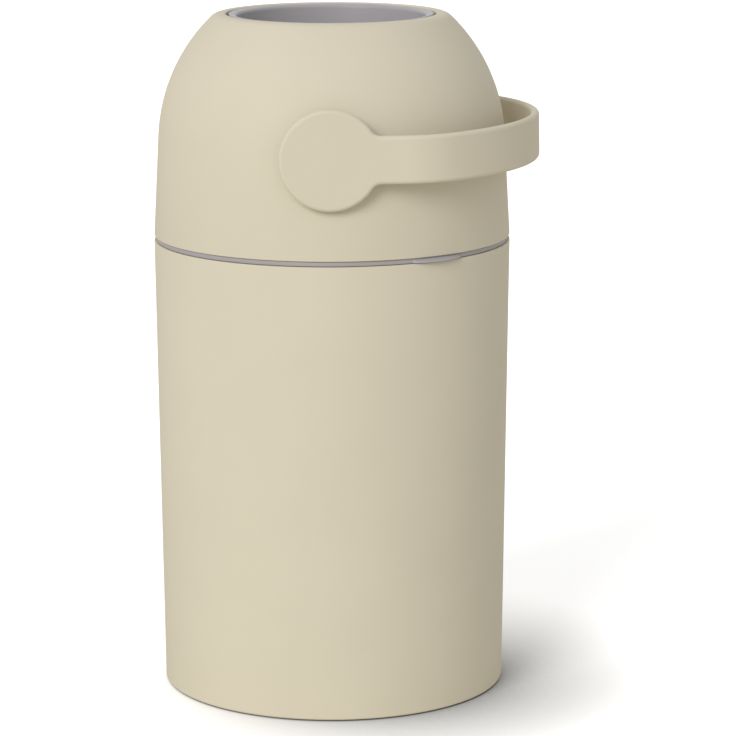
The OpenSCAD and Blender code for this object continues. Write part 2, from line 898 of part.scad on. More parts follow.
// The whole drum about the origin: a ball with a mouth, bosses on the axis and a square hole in each
module drum_shell() {
    difference() {
        union() {
            sphere(r = drum_r);
            drum_bosses();
        }
        difference() {
            sphere(r = drum_in_r);
            drum_bosses();
        }
        disc(drum_r, mouth_h, drum_r);
        for (s = [-1, 1])
            translate([0, 0, -z_axis])
                on_axis(s)
                    square_bar(drum_key + 2 * fix_gap, y_boss_in - cut, y_boss_out - y_boss_in + 2 * cut);
    }
}

module drum_bowl() {
    color(GREY)
        translate([0, 0, z_axis])
            difference() {
                drum_shell();
                disc(2 * drum_r, drum_step_h, drum_r);
                disc(drum_mid_r + fix_gap / 2, 0, drum_r);
            }
}

module drum_crown() {
    color(GREY)
        translate([0, 0, z_axis])
            difference() {
                drum_shell();
                disc(2 * drum_r, fix_gap - 2 * drum_r, 2 * drum_r);
                ring(drum_mid_r - fix_gap / 2, 2 * drum_r, -eps, drum_step_h + fix_gap + eps);
            }
}

module pivot_shaft(s) {
    key_start = y_bush_end;
    color(DARK)
        on_axis(s)
            difference() {
                union() {
                    disc(drum_key / sqrt(2) + shaft_flange_w, y_shaft_flange, shaft_flange_t);
                    square_bar(drum_key, y_boss_in - eps, y_boss_out - y_boss_in + eps);
                    disc(shaft_r, y_boss_in, y_bush_end + end_gap - y_boss_in);
                    square_bar(handle_key, key_start, y_key_end - key_start);
                }
                disc(hub_screw_r + screw_clear, y_shaft_flange - cut, handle_half);
                disc(hub_screw_head_r + screw_clear, y_shaft_flange - cut, hub_screw_head_h + cut + fix_gap);
            }
}

module pivot_shaft_front() {
    pivot_shaft(-1);
}

module pivot_shaft_back() {
    pivot_shaft(1);
}

module hub_screws() {
    y_head = y_shaft_flange + fix_gap;
    y_thread = y_head + hub_screw_head_h;
    color(STEEL)
        for (s = [-1, 1])
            on_axis(s) {
                difference() {
                    disc(hub_screw_head_r, y_head, hub_screw_head_h);
                    translate([0, 0, y_head - cut])
                        cylinder(r = hub_socket_r, h = hub_socket_h + cut, $fn = 6);
                }
                disc(hub_screw_r, y_thread - eps, y_insert + insert_len - root - y_thread);
            }
}

module hub_caps() {
    color(GREY)
        for (s = [-1, 1])
            on_axis(s)
                translate([0, 0, y_shaft_flange - hub_cap_t])
                    cylinder(r1 = hub_cap_r - hub_cap_break, r2 = hub_cap_r, h = hub_cap_t);
}

// Cams on the handle's squares, their lugs towards the handle
module stop_cams() {
    color(STEEL)
        for (s = [-1, 1])
            on_axis(s)
                difference() {
                    union() {
                        disc(cam_hub_r, y_cam, cam_t);
                        translate([0, 0, y_cam])
                            rotate([0, 0, -lug_angle / 2])
                                rotate_extrude(angle = lug_angle)
                                    translate([cam_hub_r - root, 0])
                                        square([lug_r - cam_hub_r + root, cam_t]);
                    }
                    square_bar(handle_key + 2 * fix_gap, y_cam - cut, cam_t + 2 * cut);
                }
}

module thread_inserts() {
    color(BRASS)
        for (s = [-1, 1])
            on_axis(s)
                ring(hub_screw_r + fix_gap, insert_r, y_insert, insert_len);
}

// Section of the band, x from its outer face inwards and y across, with round edges
module band_section(inset) {
    t = handle_t - inset;
    w = handle_w / 2 - inset;
    r = handle_round - inset;
    polygon(concat(
        arc([-inset - r, w - r], r, 0, 90, 4),
        arc([r - t, w - r], r, 90, 180, 4),
        arc([r - t, r - w], r, 180, 270, 4),
        arc([-inset - r, r - w], r, 270, 360, 4)
    ));
}

// The bail's far side, whose ends lie just inside the corners
module bail_end() {
    half = end_angle + asin(2 * root / handle_end_r) / 2;
    translate([handle_cx, 0, 0])
        rotate([0, 0, -half])
            rotate_extrude(angle = 2 * half)
                translate([handle_end_r, 0])
                    band_section(inlay);
}

// Corner and leg on the +Y side
module bail_leg() {
    translate([corner_cx, corner_cy, 0])
        rotate([0, 0, end_angle])
            rotate_extrude(angle = 90 - end_angle)
                translate([handle_corner_r, 0])
                    band_section(0);
    translate([corner_cx + root, handle_half, 0])
        rotate([0, -90, 0])
            rotate([0, 0, 90])
                linear_extrude(corner_cx + root)
                    band_section(inlay);
}

// The round end of a leg, with its boss, drawn along the axis
module bail_disc() {
    r = handle_round;
    rotate_extrude()
        polygon(concat(
            [[0, handle_in]],
            arc([disc_r - r, handle_in + r], r, -90, 0, 5),
            arc([disc_r - r, handle_half - r], r, 0, 90, 5),
            [[0, handle_half]]
        ));
    disc(hub_boss_r, y_hub_boss, handle_in - y_hub_boss + root);
}

// The filling of the corner between a disc and its leg, on the upper side
module bail_hollow() {
    w = handle_w / 2;
    r = handle_hollow_r;
    cx = sqrt(pow(disc_r + r, 2) - pow(w + r, 2));
    a = atan2(w + r, cx);
    sunk = 2 * root;
    translate([0, 0, handle_in + hollow_inset])
        linear_extrude(handle_t - 2 * hollow_inset)
            polygon(concat(
                [[disc_r * cos(a) - sunk, w - sunk], [cx, w - sunk]],
                arc([cx, w + r], r, 270, 180 + a, 6),
                [[disc_r * cos(a) - sunk, disc_r * sin(a) - sunk]]
            ));
}

// The whole bail about the axis, level
module bail_shape() {
    bail_end();
    for (s = [0, 1])
        mirror([0, s, 0]) {
            bail_leg();
            rotate([-90, 0, 0]) {
                bail_disc();
                for (t = [0, 1])
                    mirror([0, t, 0])
                        bail_hollow();
            }
        }
}

module handle_bail() {
    color(BEIGE)
        difference() {
            translate([0, 0, z_axis])
                rotate([0, -handle_tilt, 0])
                    bail_shape();
            for (s = [-1, 1])
                on_axis(s) {
                    disc(insert_r + fix_gap / 2, y_key_end, insert_len + 4 * fix_gap);
                    square_bar(handle_key + 2 * fix_gap, y_hub_boss - cut,
                               y_key_end - y_hub_boss + cut + fix_gap);
                }
        }
}

bin_body();
base_pad();
bag_ring();
ring_gasket();
dome_cover();
inlet_collar();
collar_screws();
chute_plate();
plate_screws();
bearing_bracket_front();
bearing_bracket_back();
bracket_screws();
upper_seal();
upper_seal_retainer();
lower_seal();
lower_seal_retainer();
bearing_bush_front();
bearing_bush_back();
hub_washer_front();
hub_washer_back();
drum_bowl();
drum_crown();
pivot_shaft_front();
pivot_shaft_back();
hub_screws();
hub_caps();
stop_cams();
thread_inserts();
handle_bail();
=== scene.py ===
# %% [markdown]
# # Dressing a nappy bin
#
# The CAD model of this bin has every piece at its real size, and it moves: the head lifts off, the
# bag ring comes out of the bucket, and the handle turns a drum inside the head. This lesson gives
# the bin its looks. The pieces that the eye meets first are modelled again as smooth meshes, each
# in the place of its CAD node, and every other node keeps its shape and gets its real finish.
#
# All lengths are in metres, so a size that is thought of in millimetres is written as `2.6 * MM`.
# Angles are written in degrees.

import json
import math

import bmesh
import bpy
from mathutils import Matrix, Vector


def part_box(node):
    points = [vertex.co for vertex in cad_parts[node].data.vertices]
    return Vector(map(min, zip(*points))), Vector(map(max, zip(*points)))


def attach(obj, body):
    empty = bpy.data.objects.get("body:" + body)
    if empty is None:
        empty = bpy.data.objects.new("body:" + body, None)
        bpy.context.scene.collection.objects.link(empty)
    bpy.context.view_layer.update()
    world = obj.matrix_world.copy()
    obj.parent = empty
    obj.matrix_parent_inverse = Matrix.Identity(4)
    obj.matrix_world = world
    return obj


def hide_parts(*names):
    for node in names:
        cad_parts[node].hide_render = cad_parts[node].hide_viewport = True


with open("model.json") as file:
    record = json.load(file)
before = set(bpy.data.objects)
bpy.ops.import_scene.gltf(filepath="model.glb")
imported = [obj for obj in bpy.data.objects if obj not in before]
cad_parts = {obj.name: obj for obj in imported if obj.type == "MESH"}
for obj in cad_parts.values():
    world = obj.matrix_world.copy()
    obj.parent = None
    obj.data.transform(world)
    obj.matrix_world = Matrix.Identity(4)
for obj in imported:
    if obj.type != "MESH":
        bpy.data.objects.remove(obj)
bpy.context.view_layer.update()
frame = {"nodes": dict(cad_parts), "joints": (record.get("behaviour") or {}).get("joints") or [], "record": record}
scene = bpy.context.scene
MM = 0.001

joint_at = {joint["name"]: joint for joint in frame["joints"]}
body_of = {node: body for body, nodes in frame["record"]["behaviour"]["bodies"].items() for node in nodes}
slot_of = {part["node"]: part["material_slot"] for part in frame["record"]["subparts"]}
axis_z = joint_at["drum_turn"]["pos_m"][2]

# %% [markdown]
# ## The camera
#
# A product photographer stands well back with a long lens, so that the bin's sides stay nearly
# parallel. The outlines of the photograph give the place exactly: 2.45 m in front of the bin and
# 24 cm above its top, tipped down by 11.6 degrees. The focal length was found in pixels, and the
# lens in millimetres follows from the width of the sensor.

# %% The camera
PHOTO_WIDTH_PX = 736
FOCAL_LENGTH_PX = 3387
SENSOR_WIDTH_MM = 36
CAMERA_PLACE = (26.1 * MM, -2451.7 * MM, 734.5 * MM)
CAMERA_TIP = 11.566
CAMERA_ROLL = -0.12

lens = bpy.data.cameras.new("photo_camera")
lens.sensor_width = SENSOR_WIDTH_MM
lens.lens = FOCAL_LENGTH_PX * SENSOR_WIDTH_MM / PHOTO_WIDTH_PX
camera = bpy.data.objects.new("photo_camera", lens)
scene.collection.objects.link(camera)
tip = Matrix.Rotation(math.radians(90 - CAMERA_TIP), 3, "X")
roll = Matrix.Rotation(math.radians(CAMERA_ROLL), 3, "Z")
camera.location = CAMERA_PLACE
camera.rotation_euler = (tip @ roll).to_euler()
scene.camera = camera
scene.view_settings.view_transform = "Standard"
print(f"lens {lens.lens:.1f} mm, tipped down {CAMERA_TIP} degrees")

# %% [markdown]
# ## Colours and nodes
#
# Colours are written as the hex codes that a designer would use. Blender's nodes work with linear
# light, so one small function turns a code into that. A second one adds a node with its settings,
# the values on its sockets and the links that come in, which keeps each material to a few lines.

# %% Two helpers for every material
def linear(hex_code):
    """The linear RGBA of an sRGB colour such as "D9D1BA"."""
    channels = [int(hex_code[i:i + 2], 16) / 255 for i in (0, 2, 4)]
    return [c / 12.92 if c <= 0.04045 else ((c + 0.055) / 1.055) ** 2.4 for c in channels] + [1]


def add_node(tree, kind, values=None, links=None, **settings):
    """A new node: settings are its own options, values and links go to its sockets by name."""
    node = tree.nodes.new(kind)
    for name, value in settings.items():
        setattr(node, name, value)
    for socket, value in (values or {}).items():
        node.inputs[socket].default_value = value
    for socket, output in (links or {}).items():
        tree.links.new(output, node.inputs[socket])
    return node


print("beige in linear light:", [round(c, 3) for c in linear("D9D1BA")])

# %% [markdown]
# ## Light and floor
#
# The photograph was lit by one large soft light from the upper left, with white all round that
# fills the shadows. So the world gives an even grey-white light, and one sun with a wide disc gives
# the direction. The camera, and whatever reflects, sees a plain white world instead: Light Path
# tells the kinds of ray apart.

# %% The white room
ROOM_LIGHT = 0.56

world = bpy.data.worlds.new("white_room")
world.use_nodes = True
scene.world = world
tree = world.node_tree
tree.nodes.clear()
rays = add_node(tree, "ShaderNodeLightPath")
seen = rays.outputs["Is Camera Ray"]
for kind in ("Is Glossy Ray", "Is Transmission Ray"):
    either = add_node(tree, "ShaderNodeMath", links={0: seen, 1: rays.outputs[kind]}, operation="MAXIMUM")
    seen = either.outputs[0]
fill = add_node(tree, "ShaderNodeBackground", {"Color": linear("FFFFFF"), "Strength": ROOM_LIGHT})
white = add_node(tree, "ShaderNodeBackground", {"Color": linear("FFFFFF"), "Strength": 1})
mix = add_node(tree, "ShaderNodeMixShader", links={0: seen, 1: fill.outputs[0], 2: white.outputs[0]})
add_node(tree, "ShaderNodeOutputWorld", links={"Surface": mix.outputs[0]})
print("the room lights the bin with strength", ROOM_LIGHT)

# %% The key light
KEY_LIGHT = 0.47
KEY_TURN = -30
KEY_HEIGHT = 28
KEY_SPREAD = 28

key = bpy.data.lights.new("key_light", "SUN")
key.energy = KEY_LIGHT * math.pi
key.angle = math.radians(KEY_SPREAD)
key_light = bpy.data.objects.new("key_light", key)
scene.collection.objects.link(key_light)
turn = Matrix.Rotation(math.radians(KEY_TURN), 3, "Z")
lean = Matrix.Rotation(math.radians(90 - KEY_HEIGHT), 3, "X")
key_light.rotation_euler = (turn @ lean).to_euler()
print(f"key light from {-KEY_TURN} degrees to the left, {KEY_HEIGHT} degrees high")

# %% [markdown]
# The floor has to look as white as the background and still hold the bin's shadow. It is a pale
# diffuse surface. For camera rays only it is one and a half times as bright as white paint, and
# glows a little as well, so that the long soft shadow stays white, as on a studio's sweep. Ambient
# occlusion deepens the shadow in the last few centimetres, where the bin meets the floor. It looks
# up and to the left, where most of the light comes from, so the bin's right side gets more of it.

# %% The floor
FLOOR_RADIUS = 14.0

floor_mesh = bpy.data.meshes.new("floor")
bm = bmesh.new()
bmesh.ops.create_circle(bm, cap_ends=True, segments=64, radius=FLOOR_RADIUS)
bm.to_mesh(floor_mesh)
bm.free()
floor = bpy.data.objects.new("floor", floor_mesh)
scene.collection.objects.link(floor)
print("floor", 2 * FLOOR_RADIUS, "m across")

# %% The paint of the floor
FLOOR_GLOW = 0.15
CONTACT_REACH = 140 * MM
CONTACT_DEPTH = 1.1
CONTACT_SIDE = (-0.62, 0.38, 0.69)

floor_paint = bpy.data.materials.new("floor_paint")
floor_paint.use_nodes = True
tree = floor_paint.node_tree
tree.nodes.clear()
rays = add_node(tree, "ShaderNodeLightPath")
pale = add_node(tree, "ShaderNodeBsdfDiffuse", {"Color": linear("E5E2D8")})
glow = add_node(tree, "ShaderNodeEmission", {"Color": linear("FFFFFF"), "Strength": FLOOR_GLOW})
shown = glow
for grey in ("FFFFFF", "BCBCBC"):
    paint = add_node(tree, "ShaderNodeBsdfDiffuse", {"Color": linear(grey)})
    shown = add_node(tree, "ShaderNodeAddShader", links={0: shown.outputs[0], 1: paint.outputs[0]})
side = add_node(tree, "ShaderNodeCombineXYZ", dict(zip("XYZ", CONTACT_SIDE)))
open_sky = add_node(tree, "ShaderNodeAmbientOcclusion", {"Distance": CONTACT_REACH},
                    {"Normal": side.outputs[0]}, samples=16)
open_sky = add_node(tree, "ShaderNodeMath", {1: CONTACT_DEPTH}, {0: open_sky.outputs["AO"]},
                    operation="POWER")
black = add_node(tree, "ShaderNodeBsdfDiffuse", {"Color": linear("000000")})
shown = add_node(tree, "ShaderNodeMixShader",
                 links={0: open_sky.outputs[0], 1: black.outputs[0], 2: shown.outputs[0]})
mix = add_node(tree, "ShaderNodeMixShader",
               links={0: rays.outputs["Is Camera Ray"], 1: pale.outputs[0], 2: shown.outputs[0]})
add_node(tree, "ShaderNodeOutputMaterial", links={"Surface": mix.outputs[0]})
floor_mesh.materials.append(floor_paint)
print("the contact shadow reaches", CONTACT_REACH / MM, "mm from the bin")

# %% [markdown]
# ## Moulded plastic
#
# Bucket, dome and handle are polypropylene from steel moulds whose walls were spark-eroded. That
# leaves a fine, even grain which scatters the light, so the surface is matte with no sharp
# highlight. The colour is never perfectly even either: the pigment flows with the melt. So each
# plastic here has clouds between two close shades, roughness that varies a little, and a grain in
# the bump. The real grain is about 0.1 mm wide, finer than a pixel, and is drawn coarser to show.

# %% Plastics
CLOUD_STOPS = (0.35, 0.65)
SHEEN_CHANGE = 0.04


def moulded_plastic(name, shades, roughness, grain, depth, cloud=70 * MM, specular=0.5):
    """A plastic with clouds between two shades and the grain of its mould, both at real size."""
    material = bpy.data.materials.new(name)
    material.use_nodes = True
    tree = material.node_tree
    shader = tree.nodes["Principled BSDF"]
    shader.inputs["IOR"].default_value = 1.49
    shader.inputs["Specular IOR Level"].default_value = specular
    place = add_node(tree, "ShaderNodeTexCoord").outputs["Object"]
    clouds = add_node(tree, "ShaderNodeTexNoise", {"Scale": 1 / cloud, "Detail": 3}, {"Vector": place})
    colour = add_node(tree, "ShaderNodeValToRGB", links={"Fac": clouds.outputs["Fac"]})
    for i in (0, 1):
        colour.color_ramp.elements[i].position = CLOUD_STOPS[i]
        colour.color_ramp.elements[i].color = linear(shades[i])
    sheen = add_node(tree, "ShaderNodeMapRange",
                     {"To Min": roughness - SHEEN_CHANGE, "To Max": roughness + SHEEN_CHANGE},
                     {"Value": clouds.outputs["Fac"]})
    grains = add_node(tree, "ShaderNodeTexNoise", {"Scale": 1 / grain, "Detail": 2}, {"Vector": place})
    bump = add_node(tree, "ShaderNodeBump", {"Strength": 1, "Distance": depth},
                    {"Height": grains.outputs["Fac"]})
    tree.links.new(colour.outputs["Color"], shader.inputs["Base Color"])
    tree.links.new(sheen.outputs["Result"], shader.inputs["Roughness"])
    tree.links.new(bump.outputs["Normal"], shader.inputs["Normal"])
    return material


# Spark-eroded polypropylene: matte, with a grain that shows only close by and hardly any sheen
beige_plastic = moulded_plastic("matte_beige_polypropylene", ("D8D0BB", "DAD2BD"), 0.58,
                                grain=0.8 * MM, depth=0.02 * MM, specular=0.1)
# Polypropylene from a smoother mould: satin, so that it holds a soft highlight
grey_plastic = moulded_plastic("satin_grey_polypropylene", ("A9A5A8", "AFABAE"), 0.38,
                               grain=1.2 * MM, depth=0.006 * MM, specular=0.25)
# Glass-filled polypropylene: short fibres at the surface make it dull and a little streaky
frame_plastic = moulded_plastic("glass_filled_polypropylene", ("76727A", "868289"), 0.5,
                                grain=0.5 * MM, depth=0.03 * MM, cloud=3 * MM)
# Natural acetal: white, waxy and smooth, as it comes from a polished mould
acetal = moulded_plastic("natural_acetal", ("E4E1D8", "ECE9E1"), 0.28,
                         grain=2 * MM, depth=0.004 * MM, cloud=12 * MM)
print("plastics:", beige_plastic.name, grey_plastic.name, frame_plastic.name, acetal.name)

# %% [markdown]
# ## Rubber and silicone
#
# The seals are silicone: soft and a little cloudy, so some light goes in and comes out again
# nearby. The pad under the bucket is black rubber with grip rings round its centre. The rings come
# from the distance to the bin's axis, so they are true circles on the pad's face.

# %% Silicone and rubber
RING_PITCH = 4 * MM
RING_DEPTH = 0.4 * MM

silicone = moulded_plastic("soft_silicone", ("8B878C", "949095"), 0.42,
                           grain=1.5 * MM, depth=0.01 * MM, cloud=9 * MM)
skin = silicone.node_tree.nodes["Principled BSDF"]
skin.inputs["IOR"].default_value = 1.41
skin.inputs["Subsurface Weight"].default_value = 0.2
skin.inputs["Subsurface Scale"].default_value = 2 * MM

rubber = moulded_plastic("grip_rubber", ("3B3A3D", "444346"), 0.75, grain=0.6 * MM, depth=0.03 * MM)
tree = rubber.node_tree
place = add_node(tree, "ShaderNodeTexCoord").outputs["Object"]
flat = add_node(tree, "ShaderNodeVectorMath", {1: (1, 1, 0)}, {0: place}, operation="MULTIPLY")
radius = add_node(tree, "ShaderNodeVectorMath", links={0: flat.outputs[0]}, operation="LENGTH")
phase = add_node(tree, "ShaderNodeMath", {1: 2 * math.pi / RING_PITCH}, {0: radius.outputs["Value"]},
                 operation="MULTIPLY")
wave = add_node(tree, "ShaderNodeMath", links={0: phase.outputs[0]}, operation="SINE")
grip = add_node(tree, "ShaderNodeBump", {"Strength": 1, "Distance": RING_DEPTH}, {"Height": wave.outputs[0]})
grain = next(node for node in tree.nodes if node.bl_idname == "ShaderNodeBump" and node != grip)
tree.links.new(grip.outputs["Normal"], grain.inputs["Normal"])
print("grip rings every", RING_PITCH / MM, "mm")

# %% [markdown]
# ## Metals
#
# The screws are steel with a thin coat of zinc, which is bluish and slightly cloudy. The threaded
# inserts are turned brass: the tool leaves fine rings round the axis. A metal's colour is the
# colour of its reflection, so both have metallic 1 and the default IOR.

# %% Metals
METAL_SHEEN_CHANGE = 0.06


def bare_metal(name, shades, roughness, mark, depth):
    """A metal with a cloudy surface and fine tool marks of a real size."""
    material = bpy.data.materials.new(name)
    material.use_nodes = True
    tree = material.node_tree
    shader = tree.nodes["Principled BSDF"]
    shader.inputs["Metallic"].default_value = 1
    place = add_node(tree, "ShaderNodeTexCoord").outputs["Object"]
    marks = add_node(tree, "ShaderNodeTexNoise", {"Scale": 1 / mark, "Detail": 4}, {"Vector": place})
    colour = add_node(tree, "ShaderNodeValToRGB", links={"Fac": marks.outputs["Fac"]})
    for i in (0, 1):
        colour.color_ramp.elements[i].color = linear(shades[i])
    sheen = add_node(tree, "ShaderNodeMapRange",
                     {"To Min": roughness - METAL_SHEEN_CHANGE, "To Max": roughness + METAL_SHEEN_CHANGE},
                     {"Value": marks.outputs["Fac"]})
    bump = add_node(tree, "ShaderNodeBump", {"Strength": 1, "Distance": depth},
                    {"Height": marks.outputs["Fac"]})
    tree.links.new(colour.outputs["Color"], shader.inputs["Base Color"])
    tree.links.new(sheen.outputs["Result"], shader.inputs["Roughness"])
    tree.links.new(bump.outputs["Normal"], shader.inputs["Normal"])
    return material


zinc_steel = bare_metal("zinc_plated_steel", ("B9BDC4", "CDD1D6"), 0.32, mark=1.5 * MM, depth=0.01 * MM)
brass = bare_metal("turned_brass", ("C2A05C", "D3B36F"), 0.3, mark=0.4 * MM, depth=0.02 * MM)
print("metals:", zinc_steel.name, brass.name)

# %% [markdown]
# ## Finishes on the CAD nodes
#
# The record says which material slot each node has. One table ties the slots to the finishes, and
# every node takes its finish from there. The five nodes that the next steps model again are
# finished too, because their new pieces use the same slots.

# %% Each node takes its finish
finish_of_slot = {
    "beige_plastic": beige_plastic,
    "grey_plastic": grey_plastic,
    "frame_plastic": frame_plastic,
    "acetal": acetal,
    "silicone": silicone,
    "foot_rubber": rubber,
    "screw_steel": zinc_steel,
    "brass": brass,
}
for name, node in frame["nodes"].items():
    node.data.materials.clear()
    node.data.materials.append(finish_of_slot[slot_of[name]])
print("finished nodes:", len(frame["nodes"]))

# %% [markdown]
# ## Tools for turned pieces
#
# Bucket, ring and dome are round, so each is a section that is spun about the bin's axis, as on a
# lathe. A section is a short list of corners and arcs in radius and height. The spin leaves double
# points where it closes, and on the axis, so they are merged, a side that lay on the axis is
# deleted, and the normals are turned outwards before anything else is done to the mesh.

# %% Sections and spins
TURNS = 240
SAME_PLACE = 0.001 * MM


def arc(centre, radius, start, end, steps):
    """Radius and height of points on an arc, from one angle in degrees to another."""
    angles = [math.radians(start + (end - start) * i / steps) for i in range(steps + 1)]
    return [(centre[0] + radius * math.cos(a), centre[1] + radius * math.sin(a)) for a in angles]


def spun(section, angle=2 * math.pi, steps=TURNS):
    """A bmesh made by spinning a closed section about the Z axis."""
    bm = bmesh.new()
    corners = [bm.verts.new((r, 0, z)) for r, z in section]
    sides = [bm.edges.new(pair) for pair in zip(corners, corners[1:] + corners[:1])]
    whole = angle == 2 * math.pi
    bmesh.ops.spin(bm, geom=corners + sides, cent=(0, 0, 0), axis=(0, 0, 1), angle=angle, steps=steps,
                   use_merge=whole)
    if not whole:
        bmesh.ops.holes_fill(bm, edges=[edge for edge in bm.edges if edge.is_boundary])
    bmesh.ops.remove_doubles(bm, verts=bm.verts, dist=SAME_PLACE)
    bmesh.ops.delete(bm, geom=[edge for edge in bm.edges if edge.is_wire], context="EDGES")
    bmesh.ops.recalc_face_normals(bm, faces=bm.faces)
    return bm


def to_object(bm, name):
    """An object that holds the bmesh, at the origin and unturned."""
    mesh = bpy.data.meshes.new(name)
    bm.to_mesh(mesh)
    bm.free()
    piece = bpy.data.objects.new(name, mesh)
    scene.collection.objects.link(piece)
    return piece


rim_length = 2 * math.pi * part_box("bin_body")[1][0]
print(f"a spin has {TURNS} steps, so its facets are {rim_length / TURNS / MM:.1f} mm wide at the rim")

# %% [markdown]
# Bosses, bores and pads are added to a turned shell, or cut out of it, with an exact Boolean. It is
# applied at once, so that the piece's mesh alone holds the result. The last helper puts a piece in the
# place of its CAD node: it rides on the same body, stands for the node, and has the same slot.

# %% Joining, cutting and placing
SHARP = math.radians(38)


def combine(piece, other, operation):
    """Joins another bmesh to a piece ("UNION"), cuts it out ("DIFFERENCE") or keeps what both share."""
    tool = to_object(other, "tool")
    step = piece.modifiers.new("combine", "BOOLEAN")
    step.operation = operation
    step.solver = "EXACT"
    step.use_self = operation == "UNION"
    step.object = tool
    combined = piece.evaluated_get(bpy.context.evaluated_depsgraph_get())
    result = bpy.data.meshes.new_from_object(combined)
    piece.modifiers.clear()
    piece.data = result
    bpy.data.objects.remove(tool)


def cylinder(bm, radius, start, end, turn=None, segments=72):
    """Adds a cylinder between two heights on Z, turned by a matrix to where it belongs."""
    place = (turn or Matrix()) @ Matrix.Translation((0, 0, (start + end) / 2))
    bmesh.ops.create_cone(bm, cap_ends=True, segments=segments, radius1=radius, radius2=radius,
                          depth=end - start, matrix=place)


def open_edges(piece):
    """How many edges don't join exactly two faces. A closed piece has none."""
    bm = bmesh.new()
    bm.from_mesh(piece.data)
    count = sum(1 for edge in bm.edges if len(edge.link_faces) != 2)
    bm.free()
    return count


def put_in_place(piece, name, node):
    """Finishes a piece and lets it stand for a CAD node."""
    piece.name = name
    piece.data.name = name
    piece.data.materials.clear()
    piece.data.materials.append(finish_of_slot[slot_of[node]])
    piece.data.shade_smooth()
    piece.data.set_sharp_from_angle(angle=SHARP)
    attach(piece, body_of[node])
    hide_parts(node)
    print(f"{name} stands for {node}: {len(piece.data.polygons)} faces, {open_edges(piece)} open edges")


# The axis of the drum and the handle runs along Y, on both sides of the bin
along_axis = {side: Matrix.Translation((0, 0, axis_z)) @ Matrix.Rotation(-side * math.pi / 2, 4, "X")
              for side in (-1, 1)}
print("the front side is -1 and the back side is 1")

# %% [markdown]
# ## The bucket
#
# A deep bucket like this is moulded with its walls leaning inwards by less than a degree, or it
# would not leave the mould. Its lower edge is rounded, its floor sits a little higher than that
# edge, and the rim is broken by a fine radius. All of it lies in one section.

# %% The bucket
BUCKET_WALL = 2.6 * MM
BUCKET_DRAFT = math.tan(math.radians(0.73))
BUCKET_FLOOR = 2.2 * MM
FLOOR_THICKNESS = 3 * MM
EDGE_ROUND = 1.6 * MM
RIM_ROUND = 0.6 * MM

low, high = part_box("bin_body")
rim_r = high[0]
foot_r = rim_r - (high[2] - low[2]) * BUCKET_DRAFT
floor_low = low[2] + BUCKET_FLOOR
floor_high = floor_low + FLOOR_THICKNESS
floor_r = foot_r - BUCKET_WALL + (floor_high - low[2]) * BUCKET_DRAFT
bucket_section = (
    arc((foot_r - EDGE_ROUND, low[2] + EDGE_ROUND), EDGE_ROUND, -90, 0, 8)
    + arc((rim_r - RIM_ROUND, high[2] - RIM_ROUND), RIM_ROUND, 0, 90, 5)
    + arc((rim_r - BUCKET_WALL + RIM_ROUND, high[2] - RIM_ROUND), RIM_ROUND, 90, 180, 5)
    + arc((floor_r - EDGE_ROUND, floor_high + EDGE_ROUND), EDGE_ROUND, 0, -90, 5)
    + [(0, floor_high), (0, floor_low), (foot_r - BUCKET_WALL, floor_low)]
    + arc((foot_r - BUCKET_WALL + RIM_ROUND, low[2] + RIM_ROUND), RIM_ROUND, 180, 270, 3)
)
bucket = to_object(spun(bucket_section), "bucket")
put_in_place(bucket, "bucket_shell", "bin_body")

# %% [markdown]
# ## The bag ring and its finger tab
#
# The loose ring hangs in the bucket: a skirt below, a flange that shows as a grey line in the seam,
# and a lip above that centres the head. Its one odd feature is the finger tab, a thin plate that
# falls outwards over the bucket's rim. The tab is a short piece of another section, spun only as
# far as the tab is wide. Its ends then run out into the flange: each point is pulled back towards
# it by a curve that falls to nothing at both ends.

# %% The ring
RING_INSET = 1.5 * MM
RING_SKIRT_R = 126.6 * MM
RING_WALL = 2 * MM
LIP_WALL = 1.6 * MM
FLANGE_HEIGHT = 3.3 * MM
FLANGE_BREAK = 0.5 * MM
SEAM_GAP = 0.3 * MM
SEAL_CLEAR = 0.1 * MM
GROOVE_WIDTH = 1.2 * MM

low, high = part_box("bag_ring")
seal_low, seal_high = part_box("ring_gasket")
head_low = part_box("dome_cover")[0][2]
flange_top = head_low - SEAM_GAP
flange_low = flange_top - FLANGE_HEIGHT
flange_r = rim_r - RING_INSET
inner_r = RING_SKIRT_R - RING_WALL
lip_r = inner_r + LIP_WALL
groove_out = seal_high[0] + SEAL_CLEAR
groove_in = groove_out - GROOVE_WIDTH
ring_section = (
    [(inner_r, low[2]), (RING_SKIRT_R - FLANGE_BREAK, low[2]), (RING_SKIRT_R, low[2] + 2 * FLANGE_BREAK)]
    + [(RING_SKIRT_R, flange_low)]
    + arc((flange_r - FLANGE_BREAK, flange_low + FLANGE_BREAK), FLANGE_BREAK, -90, 0, 4)
    + arc((flange_r - FLANGE_BREAK, flange_top - FLANGE_BREAK), FLANGE_BREAK, 0, 90, 4)
    + [(groove_out, flange_top), (groove_out, seal_low[2]), (groove_in, seal_low[2]), (groove_in, flange_top)]
    + [(lip_r, flange_top), (lip_r, high[2] - 2 * FLANGE_BREAK), (lip_r - FLANGE_BREAK, high[2])]
    + [(inner_r, high[2])]
)
ring = to_object(spun(ring_section), "ring")
print("ring section has", len(ring_section), "points")

# %% The finger tab
TAB_OUT = 5.2 * MM
TAB_FALL = 1.9 * MM
TAB_STEP = 0.2 * MM
TAB_EDGE = 1 * MM
TAB_THICKNESS = 2.2 * MM
TAB_EDGE_START = -88
TAB_EDGE_END = 76
TAB_ANGLE = 19
TAB_DIRECTION = -54
TAB_STEPS = 48
TAB_ROOT = 0.4 * MM

